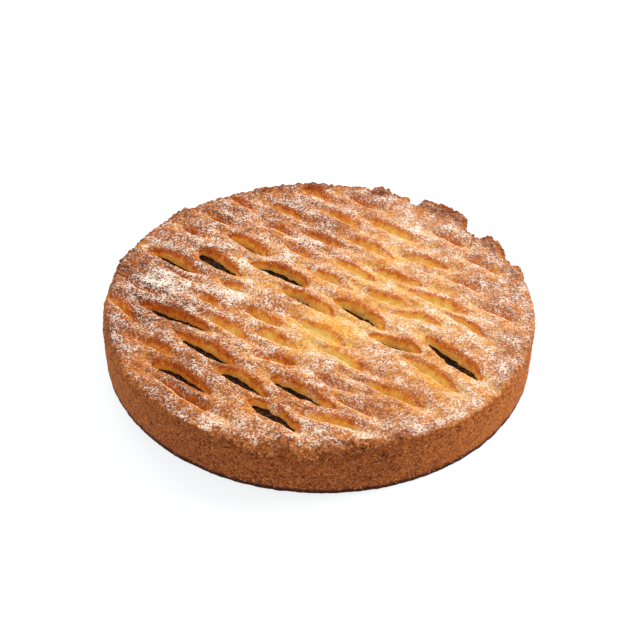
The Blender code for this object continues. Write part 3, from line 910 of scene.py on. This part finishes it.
def scatter_tree():
    """Strews small grains over a surface, as thickly as one of its attributes says."""
    sockets = (
        ("Thickness", "String"),
        ("Most per area", "Float"),
        ("Least size", "Float"),
        ("Most size", "Float"),
        ("Flatness", "Float"),
        ("Sides", "Int"),
        ("Seed", "Int"),
        ("Material", "Material"),
    )
    tree, bench, inside, outside = new_shape_tree("Strewn grains", sockets)
    seed = inside.outputs["Seed"]
    thickness = attribute_field(bench, inside.outputs["Thickness"])
    thickness = bench.math("POWER", thickness, GATHERING)
    density = bench.times(thickness, inside.outputs["Most per area"])
    points = bench.node(
        "GeometryNodeDistributePointsOnFaces",
        {"Mesh": inside.outputs["Geometry"], "Density": density, "Seed": seed},
        distribute_method="RANDOM",
    )
    grain = {"Segments": inside.outputs["Sides"], "Rings": 2, "Radius": 1.0}
    grain = bench.get("GeometryNodeMeshUVSphere", grain)
    size = {
        "Min": bench.scaled((1.0, 1.0, 1.0), inside.outputs["Least size"]),
        "Max": bench.scaled((1.0, 1.0, 1.0), inside.outputs["Most size"]),
        "Seed": seed,
    }
    size = bench.get("FunctionNodeRandomValue", size, data_type="FLOAT_VECTOR")
    squash = bench.get("ShaderNodeCombineXYZ", {0: 1.0, 1: 1.0, 2: inside.outputs["Flatness"]})
    spin = bench.get("FunctionNodeRandomValue", {2: 0.0, 3: 6.28}, data_type="FLOAT")
    spin = bench.get("FunctionNodeAxisAngleToRotation", {"Axis": (0.0, 0.0, 1.0), "Angle": spin})
    turned = {"Rotation": points.outputs["Rotation"], "Rotate By": spin}
    turned = bench.get("FunctionNodeRotateRotation", turned, rotation_space="LOCAL")
    strewn = {
        "Points": points.outputs["Points"],
        "Instance": grain,
        "Rotation": turned,
        "Scale": bench.vector("MULTIPLY", size, squash),
    }
    finish_tree(bench, bench.get("GeometryNodeInstanceOnPoints", strewn), inside, outside)
    return tree


def crumb_grain_group():
    """Baked crumb: light grains, dark pits and a height for both, on a vector in millimetres."""
    tree, bench, inside, outside = new_tree(
        "Crumb grain",
        "ShaderNodeTree",
        (("Vector", "Vector"), ("Grain size", "Float"), ("Pit share", "Float")),
        (("Grain", "Float"), ("Pits", "Float"), ("Height", "Float")),
    )
    spot = inside.outputs["Vector"]
    size = bench.math("DIVIDE", 1.0, inside.outputs["Grain size"])
    fine = {"Vector": spot, "Scale": size, "Detail": 2.0, "Roughness": 0.6}
    fine = bench.get("ShaderNodeTexNoise", fine, "Fac")
    cells = bench.get("ShaderNodeTexVoronoi", {"Vector": spot, "Scale": bench.times(size, 0.6)}, "Distance")
    grain = bench.step(bench.math("MULTIPLY_ADD", cells, -0.3, fine), 0.22, 0.5)
    patch = bench.noise(spot, 4.0)
    pit_spots = bench.noise(bench.vector("ADD", spot, (17.0, 3.0, 9.0)), 1.5, 1.0)
    pit_level = bench.math("MULTIPLY_ADD", patch, 0.35, bench.times(pit_spots, 0.75))
    edge = bench.math("MULTIPLY_ADD", inside.outputs["Pit share"], -0.5, 0.72)
    pits = bench.step(pit_level, edge, bench.math("ADD", edge, 0.07))
    height = bench.math("SUBTRACT", bench.times(grain, 0.5), pits)
    for label, value in (("Grain", grain), ("Pits", pits), ("Height", height)):
        bench.plug(outside.inputs[label], value)
    return tree


def oven_colour_group():
    """Dough's colour as it bakes, from pale (0) over golden and orange to dark brown (1)."""
    tree, bench, inside, outside = new_tree(
        "Oven colour",
        "ShaderNodeTree",
        (("Bake", "Float"),),
        (("Colour", "Color"), ("Roughness", "Float")),
    )
    stops = (
        (0.0, (0.95, 0.78, 0.36)),
        (0.15, (0.92, 0.65, 0.21)),
        (0.3, (0.86, 0.47, 0.09)),
        (0.45, (0.71, 0.31, 0.064)),
        (0.6, (0.545, 0.168, 0.032)),
        (0.75, (0.29, 0.077, 0.020)),
        (0.9, (0.12, 0.027, 0.009)),
        (1.0, (0.04, 0.011, 0.006)),
    )
    bench.plug(outside.inputs["Colour"], bench.ramp(inside.outputs["Bake"], stops))
    bench.plug(outside.inputs["Roughness"], bench.step(inside.outputs["Bake"], 0.1, 0.6, 0.65, 0.5))
    return tree


def sugar_group():
    """Powdered sugar over a colour: round specks that close up as the dust gets thicker, and a thin film."""
    tree, bench, inside, outside = new_tree(
        "Sugar dusting",
        "ShaderNodeTree",
        (("Vector", "Vector"), ("Under", "Color"), ("Dust", "Float"), ("Film", "Float")),
        (("Colour", "Color"), ("Cover", "Float"), ("Height", "Float")),
    )
    spot, dust = inside.outputs["Vector"], inside.outputs["Dust"]
    specks = {"Vector": spot, "Scale": 1.0 / 1.45, "Detail": 1.0, "Roughness": 0.6}
    specks = bench.get("ShaderNodeTexNoise", specks, "Fac")
    edge = bench.math("MULTIPLY_ADD", dust, -0.27, 0.68)
    cover = bench.step(specks, edge, bench.math("ADD", edge, 0.05))
    dots = bench.cells(bench.vector("ADD", spot, (3.0, 11.0, 7.0)), 1.7)
    width = bench.math("MULTIPLY_ADD", dust, 0.24, 0.10)
    dots = bench.step(dots, width, bench.math("ADD", width, 0.10), 1.0, 0.0)
    cover = bench.times(bench.math("MAXIMUM", cover, dots), bench.step(dust, 0.02, 0.2))
    solid = bench.math("MULTIPLY_ADD", dust, 0.80, 0.10)
    film = bench.times(dust, inside.outputs["Film"])
    thickness = bench.math("MULTIPLY_ADD", cover, solid, film)
    sugared = bench.colour(thickness, inside.outputs["Under"], (0.98, 0.88, 0.76, 1.0))
    for label, value in (("Colour", sugared), ("Cover", cover), ("Height", bench.times(cover, specks))):
        bench.plug(outside.inputs[label], value)
    return tree


def place_group(bench, tree, values):
    group = bench.node("ShaderNodeGroup", node_tree=tree)
    for label, value in values.items():
        bench.plug(group.inputs[label], value)
    return group.outputs


def new_material(name):
    """A material with its Principled shader and the piece's own coordinates in millimetres."""
    material = bpy.data.materials.new(name)
    material.use_nodes = True
    bench = Bench(material.node_tree)
    shader = material.node_tree.nodes["Principled BSDF"]
    spot = bench.scaled(bench.get("ShaderNodeTexCoord", out="Object"), 1000.0)
    return material, bench, shader, spot


def attribute(bench, name):
    return bench.get("ShaderNodeAttribute", out="Fac", attribute_name=name)


def outer_bake(bench, spot, middle, tan):
    """How far the lid's face is baked: more where the oven was hotter and where it stands proud."""
    bake = bench.math("ADD", tan, 0.59)
    bake = bench.math("MULTIPLY_ADD", bench.sway(spot, 26.0), 0.22, bake)
    bake = bench.math("MULTIPLY_ADD", middle, 0.4, bake)
    return bench.math("MULTIPLY_ADD", attribute(bench, "proud"), 0.07, bake)


def slit_bake(bench, middle, tan, climb, slit):
    """How far a slit's walls are baked: pale at the bottom of a deep one, then golden, brown at the crest."""
    deep = bench.step(slit, 1.0, 3.4)
    bottom = bench.blend(deep, 0.32, bench.math("MULTIPLY_ADD", tan, 0.9, 0.17))
    golden = bench.math("MULTIPLY_ADD", tan, 0.6, 0.36)
    crest = bench.math("MULTIPLY_ADD", tan, 0.5, 0.62)
    bared = bench.blend(bench.step(climb, 0.16, 0.44), bottom, golden)
    bared = bench.blend(bench.step(climb, 0.48, 0.8), bared, crest)
    return bench.math("MULTIPLY_ADD", middle, 0.22, bared)


def side_bake_painted_light_and_shade(bench, middle, across, height):
    """The side's bake, with painted shade and painted light: darker at the foot as painted shade where it
    tucks under and meets the floor, and paler towards the pie's left and right as painted light.
    """
    bake = bench.math("MULTIPLY_ADD", middle, 0.14, 0.74)
    # Painted shade: darker towards the foot, where it tucks under and meets the floor.
    bake = bench.math("MULTIPLY_ADD", bench.step(height, 4.6, 2.2), 0.22, bake)
    # Painted shade: a thin darker line at the very bottom, where the foot meets the floor.
    bake = bench.math("ADD", bake, bench.step(height, 2.8, 1.2, 0.0, 0.12))
    # Painted light: paler towards the pie's right and left, where the side catches more light.
    bake = bench.math("SUBTRACT", bake, bench.step(across, 20.0, 110.0, 0.0, 0.08))
    return bench.math("SUBTRACT", bake, bench.step(across, -60.0, -115.0, 0.0, 0.07))


def crust_material(grain_group, oven_group, dusting_group):
    """Baked shortcrust: golden and browned on top, pale where a slit was pulled open, sandy at the side."""
    material, bench, shader, spot = new_material("baked_shortcrust")
    side, wall, slit = attribute(bench, "side"), attribute(bench, "wall"), attribute(bench, "slit")
    tan = attribute(bench, "tan")
    place = bench.node("ShaderNodeSeparateXYZ", {0: spot}).outputs
    middle = bench.sway(spot, 4.5, 3.0)
    climb = bench.math("MULTIPLY_ADD", middle, 0.6, bench.math("MULTIPLY_ADD", tan, 0.45, wall))
    climb = bench.math("ADD", climb, bench.step(slit, 3.6, 5.0, 0.0, 0.1))
    top_share = bench.step(wall, 0.86, 1.0)
    bake = outer_bake(bench, spot, middle, tan)
    bake = bench.blend(top_share, slit_bake(bench, middle, tan, climb, slit), bake)
    # Near the bottom of a deep slit the wall goes dark brown: partly filling juice, partly painted shade down
    # in the slit.
    juice_and_painted_shade = bench.times(bench.step(slit, 4.4, 5.2), bench.step(climb, 0.28, 0.17))
    bake = bench.blend(juice_and_painted_shade, bake, 0.93)
    bake = bench.math("MULTIPLY_ADD", attribute(bench, "scorch"), 0.13, bake)
    bake = bench.blend(side, bake, side_bake_painted_light_and_shade(bench, middle, place["X"], place["Z"]))

    pit_share = bench.math("MULTIPLY_ADD", side, 0.16, 0.06)
    grain = place_group(bench, grain_group, {"Vector": spot, "Grain size": 1.0, "Pit share": pit_share})
    rubbed = bench.math("MAXIMUM", side, bench.math("MULTIPLY_ADD", top_share, 0.4, 0.6))
    speckle = bench.times(bench.math("SUBTRACT", 0.5, grain["Grain"]), rubbed)
    bake = bench.math("MULTIPLY_ADD", speckle, bench.blend(side, 0.23, 0.15), bake)
    pits = bench.times(grain["Pits"], rubbed)
    bake = bench.math("MULTIPLY_ADD", pits, bench.blend(side, 0.11, 0.12), bake, clamp=True)

    oven = place_group(bench, oven_group, {"Bake": bake})
    glow = bench.times(bench.step(climb, 0.4, 0.7), bench.math("SUBTRACT", 1.0, top_share))
    crust = bench.colour(glow, oven["Colour"], (1.1, 0.82, 0.48, 1.0), "MULTIPLY")
    film = bench.step(place["X"], -30.0, 60.0, 0.03, 0.17)
    sugar = {"Vector": spot, "Under": crust, "Dust": attribute(bench, "dust"), "Film": film}
    sugar = place_group(bench, dusting_group, sugar)
    bench.plug(shader.inputs["Base Color"], sugar["Colour"])
    rough = bench.blend(side, oven["Roughness"], 0.85)
    bench.plug(shader.inputs["Roughness"], bench.blend(sugar["Cover"], rough, 0.9))
    relief = bench.math("MULTIPLY_ADD", sugar["Height"], 0.8, grain["Height"])
    strength = bench.math("MULTIPLY_ADD", side, 0.2, bench.times(rubbed, 0.45))
    bump = bench.node("ShaderNodeBump", {"Height": relief, "Strength": strength, "Distance": 0.4 * MM})
    bench.plug(shader.inputs["Normal"], bump.outputs["Normal"])
    shader.inputs["Specular IOR Level"].default_value = 0.1
    return material


def filling_material(grain_group):
    """Dark cooked fruit, moist."""
    material, bench, shader, spot = new_material("cooked_fruit")
    grain = place_group(bench, grain_group, {"Vector": spot, "Grain size": 1.6, "Pit share": 0.2})
    lumps = bench.noise(spot, 3.5)
    share = bench.math("MULTIPLY_ADD", grain["Grain"], 0.3, bench.times(lumps, 0.7))
    stops = (
        (0.25, (0.006, 0.002, 0.0012)),
        (0.45, (0.017, 0.005, 0.0025)),
        (0.6, (0.05, 0.015, 0.006)),
        (0.8, (0.16, 0.052, 0.017)),
    )
    bench.plug(shader.inputs["Base Color"], bench.ramp(share, stops))
    bench.plug(shader.inputs["Roughness"], bench.step(lumps, 0.3, 0.7, 0.4, 0.65))
    bump = bench.node("ShaderNodeBump", {"Height": grain["Height"], "Strength": 0.7, "Distance": 0.7 * MM})
    bench.plug(shader.inputs["Normal"], bump.outputs["Normal"])
    shader.inputs["Specular IOR Level"].default_value = 0.06
    return material


def grain_material(name, grain_group, pale, dark, roughness):
    """Loose grains: mostly one shade, some of them darker."""
    material, bench, shader, spot = new_material(name)
    grain = place_group(bench, grain_group, {"Vector": spot, "Grain size": 2.2, "Pit share": 0.1})
    bench.plug(shader.inputs["Base Color"], bench.colour(grain["Grain"], (*dark, 1.0), (*pale, 1.0)))
    shader.inputs["Roughness"].default_value = roughness
    shader.inputs["Specular IOR Level"].default_value = 0.3
    return material


def make_crust(crust):
    marks = slit_marks()
    relief = crumb_relief_tree()
    lid = new_piece("slit_pastry_lid", pastry_sheet())
    values = {"Slits": marks, "Turn": LATTICE_TURN, **LATTICE_SIZES, "Material": crust}
    apply_tree(lid, lattice_tree(relief), values)
    bpy.data.objects.remove(marks, do_unlink=True)
    case = apply_tree(new_piece("shortcrust_case", case_shell()), case_tree(relief), {"Material": crust})
    return lid, case


def make_filling(fruit):
    """A round block of fruit whose top is lumpy, and falls a little at its edge."""
    flat, faces = round_grid(FILLING_RINGS, FILLING_RINGS)
    edge = np.hypot(flat[:, 0], flat[:, 1])
    height = FILLING_TOP - FILLING_FALL * smoothstep((edge - 0.97) / 0.03)
    points = np.stack([flat[:, 0] * FILLING_RADIUS, flat[:, 1] * FILLING_RADIUS, height], axis=1)
    ring = ring_order(FILLING_RINGS, FILLING_RINGS)
    lower = points[ring].copy()
    lower[:, 2] = FILLING_BASE
    bottom = list(range(len(points), len(points) + len(ring)))
    points = np.vstack([points, lower])
    faces += band_faces([ring, bottom])
    faces.append(bottom[::-1])
    top = np.append(1.0 - smoothstep((edge - 0.9) / 0.1), np.zeros(len(ring)))
    piece = new_piece("fruit_filling", mesh_from("fruit_filling", points, faces, {"top": top}))
    return apply_tree(piece, filling_tree(), {**FRUIT_LUMPS, "Material": fruit})


def strew(name, host, tree, thickness, grains, material):
    """Grains of one kind on a copy of the host's mesh, which the tree leaves out."""
    labels = ("Most per area", "Least size", "Most size", "Flatness", "Sides", "Seed")
    values = {"Thickness": thickness, **dict(zip(labels, grains)), "Material": material}
    return apply_tree(new_piece(name, host.data.copy()), tree, values)


def make_strewn(lid, case, sugar, crumb):
    tree = scatter_tree()
    powder = strew("powdered_sugar", lid, tree, "dust", SUGAR_GRAINS, sugar)
    rim_crumbs = strew("rim_crumbs", lid, tree, "crumbly", RIM_CRUMBS, crumb)
    clinging_crumbs = strew("clinging_crumbs", case, tree, "cling", CLINGING_CRUMBS, crumb)
    return powder, rim_crumbs, clinging_crumbs


def place_camera():
    """The photograph's view, looking down across the pie from the front."""
    data = bpy.data.cameras.new("photo_view")
    data.sensor_width = 36.0
    data.lens = data.sensor_width / 2.0 / math.tan(HALF_VIEW)
    level_step = math.cos(CAMERA_PITCH)
    sideways, onwards = math.sin(CAMERA_TURN) * level_step, math.cos(CAMERA_TURN) * level_step
    ahead = Vector((sideways, onwards, -math.sin(CAMERA_PITCH)))
    level = ahead.cross(Vector((0.0, 0.0, 1.0))).normalized()
    upright = level.cross(ahead)
    right = math.cos(CAMERA_ROLL) * level + math.sin(CAMERA_ROLL) * upright
    up = math.cos(CAMERA_ROLL) * upright - math.sin(CAMERA_ROLL) * level
    camera = bpy.data.objects.new("photo_view", data)
    bpy.context.scene.collection.objects.link(camera)
    place = (0.0, -math.cos(CAMERA_ABOVE) * CAMERA_AWAY, math.sin(CAMERA_ABOVE) * CAMERA_AWAY)
    turned = Matrix((right, up, -ahead)).transposed().to_4x4()
    camera.matrix_world = Matrix.Translation(place) @ turned
    bpy.context.scene.camera = camera


def soft_light(name, place, width, power, shade):
    """A round light turned to the pie."""
    data = bpy.data.lights.new(name, "AREA")
    data.shape = "DISK"
    data.size = width
    data.energy = power
    data.color = shade
    light = bpy.data.objects.new(name, data)
    light.location = place
    light.rotation_euler = (-Vector(place)).to_track_quat("-Z", "Y").to_euler()
    bpy.context.scene.collection.objects.link(light)


def make_studio():
    """The lights, and the pale floor that the pie stands on."""
    scene = bpy.context.scene
    scene.view_settings.view_transform = "Standard"
    world = bpy.data.worlds.new("studio")
    world.use_nodes = True
    background = world.node_tree.nodes["Background"]
    background.inputs["Color"].default_value = SKY_SHADE
    background.inputs["Strength"].default_value = SKY_STRENGTH
    scene.world = world
    soft_light("right_softbox", *RIGHT_LIGHT)
    soft_light("left_softbox", *LEFT_LIGHT)
    corners = np.array([(-1.0, -1.0), (1.0, -1.0), (1.0, 1.0), (-1.0, 1.0)]) * FLOOR_REACH
    corners = np.column_stack([corners, np.full(len(corners), FLOOR_HEIGHT)])
    floor = new_piece("pale_floor", mesh_from("pale_floor", corners, [(0, 1, 2, 3)], {}, False))
    material, bench, shader, spot = new_material("pale_board")
    shade = bench.colour(bench.noise(spot, 300.0, 1.0), (0.94, 0.97, 0.985, 1.0), (0.96, 0.98, 0.99, 1.0))
    bench.plug(shader.inputs["Base Color"], bench.colour(1.0, shade, (0.3, 0.3, 0.3, 1.0), "MULTIPLY"))
    bench.plug(shader.inputs["Emission Color"], shade)
    shader.inputs["Emission Strength"].default_value = FLOOR_GLOW
    shader.inputs["Roughness"].default_value = 0.7
    shader.inputs["Specular IOR Level"].default_value = 0.2
    floor.data.materials.append(material)


def main():
    place_camera()
    grain_group = crumb_grain_group()
    crust = crust_material(grain_group, oven_colour_group(), sugar_group())
    fruit = filling_material(grain_group)
    sugar = grain_material("powdered_sugar", grain_group, (0.98, 0.90, 0.81), (0.90, 0.78, 0.66), 0.85)
    crumb = grain_material("crust_crumbs", grain_group, (0.60, 0.22, 0.065), (0.34, 0.105, 0.03), 0.85)
    lid, case = make_crust(crust)
    filling = make_filling(fruit)
    powder, rim_crumbs, clinging_crumbs = make_strewn(lid, case, sugar, crumb)
    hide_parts("lattice_lid")
    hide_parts("pastry_case")
    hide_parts("apple_filling")
    slots = (
        (lid, "crust_top"),
        (case, "crust_side"),
        (filling, "fruit_filling"),
        (powder, "sugar"),
        (rim_crumbs, "crust_top"),
        (clinging_crumbs, "crust_side"),
    )
    for piece, slot in slots:
        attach(piece, "root")
    make_studio()


main()
